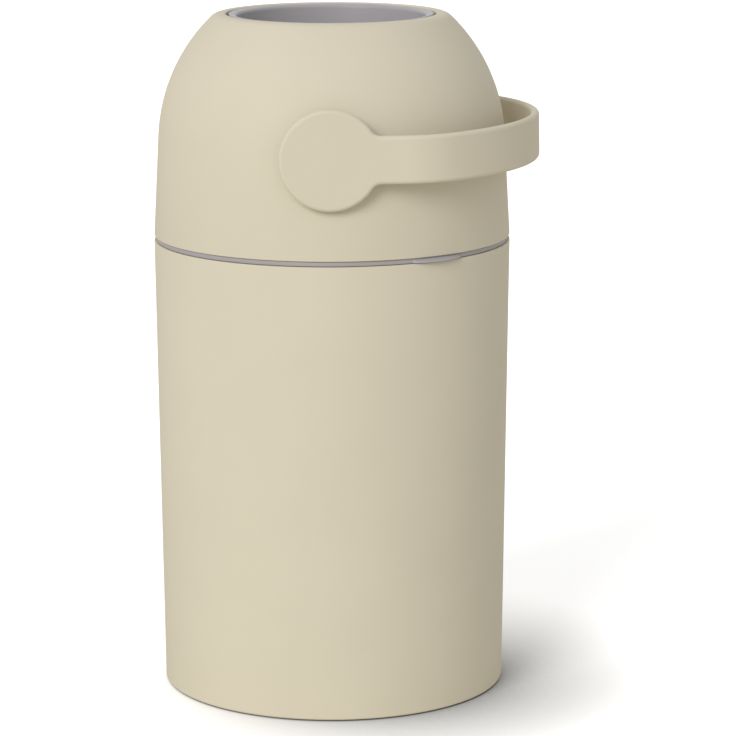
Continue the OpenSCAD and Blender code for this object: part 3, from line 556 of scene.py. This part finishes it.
tab_top = flange_top - TAB_STEP
edge_centre = (flange_r + TAB_OUT - TAB_EDGE / 2, tab_top - TAB_FALL - TAB_EDGE / 2)
tab_section = (
    [(flange_r - TAB_ROOT, tab_top - TAB_THICKNESS)]
    + arc(edge_centre, TAB_EDGE / 2, TAB_EDGE_START, TAB_EDGE_END, 10)
    + [(flange_r - TAB_ROOT, tab_top)]
)
root_r = flange_r - SEAM_GAP / 2
tab = spun(tab_section, math.radians(TAB_ANGLE), TAB_STEPS)
bmesh.ops.rotate(tab, verts=tab.verts, cent=(0, 0, 0),
                 matrix=Matrix.Rotation(math.radians(TAB_DIRECTION - TAB_ANGLE / 2), 3, "Z"))
for vert in tab.verts:
    off = (math.degrees(math.atan2(vert.co.y, vert.co.x)) - TAB_DIRECTION) / (TAB_ANGLE / 2)
    fullness = max(0.0, 1 - off ** 2) ** 0.5
    r = vert.co.xy.length
    if r > flange_r:
        vert.co.xy *= (root_r + (r - root_r) * fullness) / r
combine(ring, tab, "UNION")
put_in_place(ring, "ring_with_tab", "bag_ring")

# %% [markdown]
# ## The dome
#
# The head's outline is a straight side that leans in by 3 degrees, one long shoulder, and a small
# round lip with a narrow flat, which turns down inside as a collar. The shoulder has to leave the
# side and meet the lip without a kink, or the light would show a line there. There is only one
# circle that touches both, and its radius follows from where they are.

# %% The outline of the dome
DOME_WALL = 2.6 * MM
DOME_LEAN = math.radians(3)
SIDE_HEIGHT = 73 * MM
LIP_ROUND = 9.2 * MM
LIP_FLAT = 3.4 * MM
LIP_INNER_ROUND = 1 * MM
LIP_BORE = 76.4 * MM
LIP_RETURN = 15.9 * MM

low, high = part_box("dome_cover")
side_r = high[0] - SIDE_HEIGHT * math.tan(DOME_LEAN)
side_z = low[2] + SIDE_HEIGHT
lip_centre = (LIP_BORE + LIP_INNER_ROUND + LIP_FLAT, high[2] - LIP_ROUND)
to_lip = Vector((side_r - lip_centre[0], side_z - lip_centre[1]))
outwards = Vector((math.cos(DOME_LEAN), math.sin(DOME_LEAN)))
shoulder = (to_lip.length_squared - LIP_ROUND ** 2) / (2 * (to_lip.dot(outwards) - LIP_ROUND))
shoulder_centre = (side_r - shoulder * outwards.x, side_z - shoulder * outwards.y)
meets_lip = math.degrees(math.atan2(lip_centre[1] - shoulder_centre[1], lip_centre[0] - shoulder_centre[0]))
print(f"the shoulder's radius is {shoulder / MM:.1f} mm, and it meets the lip at {meets_lip:.1f} degrees")


def dome_outline(inset, lip_end):
    """The dome's outer face moved inwards by an inset, from its lower edge to an angle on the lip."""
    return ([(high[0] - inset, low[2])]
            + arc(shoulder_centre, shoulder - inset, math.degrees(DOME_LEAN), meets_lip, 48)
            + arc(lip_centre, LIP_ROUND - inset, meets_lip, lip_end, 16)[1:])


# %% [markdown]
# Outside and inside are the same outline at two insets. The lower edge and the lip's return are
# broken by small arcs. Then come the things that hold the dome to its neighbours: flat pads and
# bores where the handle's bosses go in, and screw bosses inside for the collar and the chute plate.
# The collar's bosses would stick out through the shoulder, so they are first cut off in the middle
# of its wall.

# %% The dome
return_low = high[2] - LIP_RETURN
return_r = LIP_BORE + DOME_WALL
inner_lip = LIP_ROUND - DOME_WALL
inner_lip_end = 90 + math.degrees(math.asin((lip_centre[0] - return_r) / inner_lip))
dome_section = (
    arc((high[0] - RIM_ROUND, low[2] + RIM_ROUND), RIM_ROUND, -90, 0, 4)
    + dome_outline(0, 90)[1:]
    + arc((LIP_BORE + LIP_INNER_ROUND, high[2] - LIP_INNER_ROUND), LIP_INNER_ROUND, 90, 180, 6)
    + [(LIP_BORE, return_low + RIM_ROUND), (LIP_BORE + RIM_ROUND, return_low), (return_r, return_low)]
    + list(reversed(dome_outline(DOME_WALL, inner_lip_end)))[:-1]
    + [(high[0] - DOME_WALL, low[2] + RIM_ROUND), (high[0] - DOME_WALL + RIM_ROUND, low[2])]
)
dome = to_object(spun(dome_section), "dome")
print("dome section has", len(dome_section), "points")

# %% Where the screws are
SCREW_HEAD_R = 3.2 * MM
PLATE_SCREWS = 6
COLLAR_SCREWS = 4
COLLAR_SCREW_TURN = 45

plate_screw_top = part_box("plate_screws")[1]
collar_screw_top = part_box("collar_screws")[1]
plate_screw_r = plate_screw_top[0] - SCREW_HEAD_R
collar_screw_r = (collar_screw_top[0] - SCREW_HEAD_R) / math.cos(math.radians(COLLAR_SCREW_TURN))


def round_the_axis(count, radius, start=0):
    """Matrices that put something on a circle round the bin's axis, evenly spaced."""
    turns = [Matrix.Rotation(math.radians(start + i * 360 / count), 4, "Z") for i in range(count)]
    return [turn @ Matrix.Translation((radius, 0, 0)) for turn in turns]


plate_screw_places = round_the_axis(PLATE_SCREWS, plate_screw_r)
collar_screw_places = round_the_axis(COLLAR_SCREWS, collar_screw_r, COLLAR_SCREW_TURN)
print(f"plate screws at {plate_screw_r / MM:.1f} mm and collar screws at {collar_screw_r / MM:.1f} mm")

# %% Pads and bosses
PAD_R = 24 * MM
PAD_DEPTH = 9 * MM
COLLAR_BOSS_R = 3.6 * MM
PLATE_BOSS_R = 4.4 * MM
BOSS_END = 2 * MM
BOSS_RIB = 2.4 * MM
RIB_HEIGHT = 12 * MM
RIB_SHORT = 1 * MM
FACE_GAP = 0.1 * MM

pad_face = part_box("hub_washer_back")[0][1] - FACE_GAP
plate_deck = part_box("bearing_bracket_back")[0][2]
half_wall = DOME_WALL / 2
rib_length = high[0] - half_wall - plate_screw_r - RIB_SHORT
rib = Matrix.Translation((rib_length / 2, 0, plate_deck + RIB_HEIGHT / 2))
rib_size = Matrix.Diagonal((rib_length, BOSS_RIB, RIB_HEIGHT, 1))
collar_bosses = bmesh.new()
for place in collar_screw_places:
    cylinder(collar_bosses, COLLAR_BOSS_R, return_low, high[2], place, 32)
collar_bosses = to_object(collar_bosses, "collar_bosses")
core = [(0, low[2])] + dome_outline(half_wall, 90) + [(0, high[2] - half_wall)]
combine(collar_bosses, spun(core, steps=72), "INTERSECT")
added = bmesh.new()
added.from_mesh(collar_bosses.data)
bpy.data.objects.remove(collar_bosses)
for side in (-1, 1):
    cylinder(added, PAD_R, pad_face - PAD_DEPTH, pad_face, along_axis[side], 96)
for place in plate_screw_places:
    cylinder(added, PLATE_BOSS_R, plate_deck, plate_screw_top[2] + BOSS_END, place, 32)
    bmesh.ops.create_cube(added, size=1, matrix=place @ rib @ rib_size)
combine(dome, added, "UNION")
print(f"the flat pads lie {pad_face / MM:.1f} mm from the axis, and the plate at {plate_deck / MM:.1f} mm")

# %% Bores and screw holes
BORE_R = 17.4 * MM
BORE_START = 80 * MM
BORE_END = 140 * MM
SCREW_HOLE_R = 1.6 * MM
HOLE_SPARE = 0.7 * MM
CUT_SPARE = 1 * MM

removed = bmesh.new()
for side in (-1, 1):
    cylinder(removed, BORE_R, BORE_START, BORE_END, along_axis[side], 96)
for place in plate_screw_places:
    cylinder(removed, SCREW_HOLE_R, plate_deck - CUT_SPARE, plate_screw_top[2] + HOLE_SPARE, place, 24)
for place in collar_screw_places:
    cylinder(removed, SCREW_HOLE_R, return_low - CUT_SPARE, collar_screw_top[2] + HOLE_SPARE, place, 24)
combine(dome, removed, "DIFFERENCE")
put_in_place(dome, "dome_shell", "dome_cover")

# %% [markdown]
# ## The inlet collar
#
# The grey funnel in the dome's opening is a turned section as well: a throat over the drum, a wall
# that flares a little, a rounded top and a skirt that goes down inside the dome's lip with a fine
# slit round it. Its top falls inwards by a few degrees, so that a nappy slides in. From the front
# the near part of that top is therefore out of sight, and the lip runs straight into the dark.

# %% The inlet collar
INLET_R = 68.53 * MM
THROAT_R = 65.23 * MM
COLLAR_R = 74.23 * MM
COLLAR_WALL = 2.4 * MM
COLLAR_ROUND = 2.6 * MM
COLLAR_BREAK = 0.8 * MM
TOP_FALL = math.radians(10)
SKIRT_GAP = 2 * MM
SEAT_R = 74.33 * MM
SEAT_WALL = 2.4 * MM
SEAT_SKIRT = 10.5 * MM
COLLAR_HOLE_R = 1.8 * MM

low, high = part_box("inlet_collar")
seat_face = low[2] + SEAT_SKIRT
throat_z = seat_face + COLLAR_WALL
flange_face = return_low - FACE_GAP
funnel_lean = (INLET_R - THROAT_R) / (high[2] - COLLAR_ROUND - throat_z)
wall_low = THROAT_R + COLLAR_WALL + (flange_face - COLLAR_WALL - throat_z) * funnel_lean
wall_high = wall_low + COLLAR_WALL * funnel_lean
break_centre = (COLLAR_R - COLLAR_BREAK, high[2] - COLLAR_BREAK)
top_width = break_centre[0] - INLET_R - COLLAR_ROUND
top_drop = top_width * math.tan(TOP_FALL) + (COLLAR_ROUND - COLLAR_BREAK) / math.cos(TOP_FALL)
round_centre = (INLET_R + COLLAR_ROUND, break_centre[1] - top_drop)
top_end = 90 + math.degrees(TOP_FALL)
collar_section = (
    [(THROAT_R, seat_face), (THROAT_R, throat_z)] + arc(round_centre, COLLAR_ROUND, 180, top_end, 8)
    + arc(break_centre, COLLAR_BREAK, top_end, 0, 5)
    + [(COLLAR_R, flange_face + SKIRT_GAP), (COLLAR_R - COLLAR_WALL, flange_face + SKIRT_GAP)]
    + [(COLLAR_R - COLLAR_WALL, high[2] - COLLAR_WALL), (INLET_R + COLLAR_ROUND, high[2] - COLLAR_WALL)]
    + [(INLET_R + COLLAR_WALL, high[2] - COLLAR_ROUND - COLLAR_WALL / 2), (wall_high, flange_face)]
    + [(high[0], flange_face), (high[0], flange_face - COLLAR_WALL), (wall_low, flange_face - COLLAR_WALL)]
    + [(THROAT_R + COLLAR_WALL, throat_z), (SEAT_R + SEAT_WALL, throat_z), (SEAT_R + SEAT_WALL, low[2])]
    + [(SEAT_R, low[2]), (SEAT_R, seat_face)]
)
collar = to_object(spun(collar_section), "collar")
removed = bmesh.new()
for place in collar_screw_places:
    cylinder(removed, COLLAR_HOLE_R, flange_face - 2 * COLLAR_WALL, flange_face + SKIRT_GAP / 2, place, 24)
combine(collar, removed, "DIFFERENCE")
put_in_place(collar, "inlet_funnel", "inlet_collar")

# %% [markdown]
# ## The handle
#
# The handle is one moulding: a flat band, bent in a wide arc, that runs into a round disc at each
# end, with all its edges rounded. Sweeping a section along the bend would leave the joints between
# band and discs to be patched. It is easier to do what a metalworker does. The whole outline is
# drawn flat, given its thickness, and its edges are rounded while it is flat. Cuts across it let
# it bend smoothly, and then every point is carried to its place round the bend.

# %% The handle, flat
HANDLE_THICKNESS = 6 * MM
BAND_WIDTH = 33.8 * MM
DISC_R = 35.7 * MM
HOLLOW_R = 8 * MM
HANDLE_ROUND = 2.9 * MM
ROUND_SEGMENTS = 7
HANDLE_REACH = 151.1 * MM
CORNER_R = 60 * MM
END_R = 154.26 * MM
HANDLE_TILT = 0.9
CUT_STEP = 2.5 * MM

low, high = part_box("handle_bail")
half_width = high[1]
end_x = HANDLE_REACH - END_R
corner_y = half_width - CORNER_R
corner_x = end_x + math.sqrt((END_R - CORNER_R) ** 2 - corner_y ** 2)
end_angle = math.atan2(corner_y, corner_x - end_x)
leg_length = corner_x
corner_length = CORNER_R * (math.pi / 2 - end_angle)
strip_length = 2 * (leg_length + corner_length + END_R * end_angle)

half_band = BAND_WIDTH / 2
hollow = (math.sqrt((DISC_R + HOLLOW_R) ** 2 - (half_band + HOLLOW_R) ** 2), half_band + HOLLOW_R)
touch = math.degrees(math.atan2(hollow[1], hollow[0]))
near_end = (
    arc((hollow[0], hollow[1]), HOLLOW_R, -90, touch - 180, 8)[:-1]
    + arc((0, 0), DISC_R, touch, 360 - touch, 96)
    + arc((hollow[0], -hollow[1]), HOLLOW_R, 180 - touch, 90, 8)[1:]
)
far_end = [(strip_length - s, z) for s, z in reversed(near_end)]
bm = bmesh.new()
outline = bm.faces.new([bm.verts.new((s, 0, z)) for s, z in near_end + far_end])
swept = bmesh.ops.extrude_face_region(bm, geom=[outline])["geom"]
bmesh.ops.translate(bm, verts=[item for item in swept if isinstance(item, bmesh.types.BMVert)],
                    vec=(0, HANDLE_THICKNESS, 0))
bmesh.ops.recalc_face_normals(bm, faces=bm.faces)
rims = [edge for edge in bm.edges if abs(edge.verts[0].co.y - edge.verts[1].co.y) < SAME_PLACE]
bmesh.ops.bevel(bm, geom=rims, offset=HANDLE_ROUND, offset_type="OFFSET", segments=ROUND_SEGMENTS,
                profile=0.5, affect="EDGES", clamp_overlap=False, material=-1)
print(f"the flat handle is {strip_length / MM:.0f} mm long between its discs' centres")

# %% The handle, bent
def bend(s, depth):
    """Where a point of the flat strip goes: s along its outer face, and depth below that face."""
    mirrored = s > strip_length / 2
    if mirrored:
        s = strip_length - s
    if s < leg_length:
        x, y = s, half_width - depth
    elif s < leg_length + corner_length:
        angle = math.pi / 2 - (s - leg_length) / CORNER_R
        x = corner_x + (CORNER_R - depth) * math.cos(angle)
        y = corner_y + (CORNER_R - depth) * math.sin(angle)
    else:
        angle = end_angle - (s - leg_length - corner_length) / END_R
        x = end_x + (END_R - depth) * math.cos(angle)
        y = (END_R - depth) * math.sin(angle)
    return x, y if mirrored else -y


cuts = int((strip_length - 2 * leg_length) / CUT_STEP)
for i in range(cuts + 1):
    s = leg_length + (strip_length - 2 * leg_length) * i / cuts
    bmesh.ops.bisect_plane(bm, geom=bm.verts[:] + bm.edges[:] + bm.faces[:],
                           plane_co=(s, 0, 0), plane_no=(1, 0, 0))
for vert in bm.verts:
    vert.co.x, vert.co.y = bend(vert.co.x, vert.co.y)
bmesh.ops.recalc_face_normals(bm, faces=bm.faces)
tilt = Matrix.Translation((0, 0, axis_z)) @ Matrix.Rotation(math.radians(-HANDLE_TILT), 4, "Y")
bmesh.ops.transform(bm, matrix=tilt, verts=bm.verts)
handle = to_object(bm, "handle")
print("bent at", cuts + 1, "cuts")

# %% [markdown]
# Behind each disc a boss reaches into the head, where a square on the pivot shaft keys it. Boss,
# square hole and the bore for the brass insert are measured from the CAD pieces that they meet.
# The last step is a Weighted Normal modifier: it lets the large flat faces set the shading of the
# points that they share with the rounded edges, so that flats stay flat and only edges catch light.

# %% The bosses of the handle
HANDLE_BOSS_R = 17 * MM
SQUARE_WIDTH = 15.6 * MM
INSERT_LENGTH = 10 * MM
INSERT_CLEAR = 0.05 * MM
BOSS_ROOT = 1 * MM
FLAT_WEIGHT = 60

insert_low, insert_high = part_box("thread_inserts")
boss_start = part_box("stop_cams")[1][1] + FACE_GAP
boss_end = half_width - HANDLE_THICKNESS + BOSS_ROOT
square_end = insert_high[1] - INSERT_LENGTH - 2 * FACE_GAP
square_length = square_end - boss_start + CUT_SPARE
added, removed = bmesh.new(), bmesh.new()
for side in (-1, 1):
    cylinder(added, HANDLE_BOSS_R, boss_start, boss_end, along_axis[side], 96)
    cylinder(removed, insert_high[0] + INSERT_CLEAR, square_end, insert_high[1] + 2 * FACE_GAP,
             along_axis[side], 48)
    square = Matrix.Translation((0, 0, square_end - square_length / 2))
    size = Matrix.Diagonal((SQUARE_WIDTH, SQUARE_WIDTH, square_length, 1))
    bmesh.ops.create_cube(removed, size=1, matrix=along_axis[side] @ square @ size)
combine(handle, added, "UNION")
combine(handle, removed, "DIFFERENCE")
put_in_place(handle, "carry_handle", "handle_bail")
flats = handle.modifiers.new("flat_faces_first", "WEIGHTED_NORMAL")
flats.keep_sharp = True
flats.weight = FLAT_WEIGHT
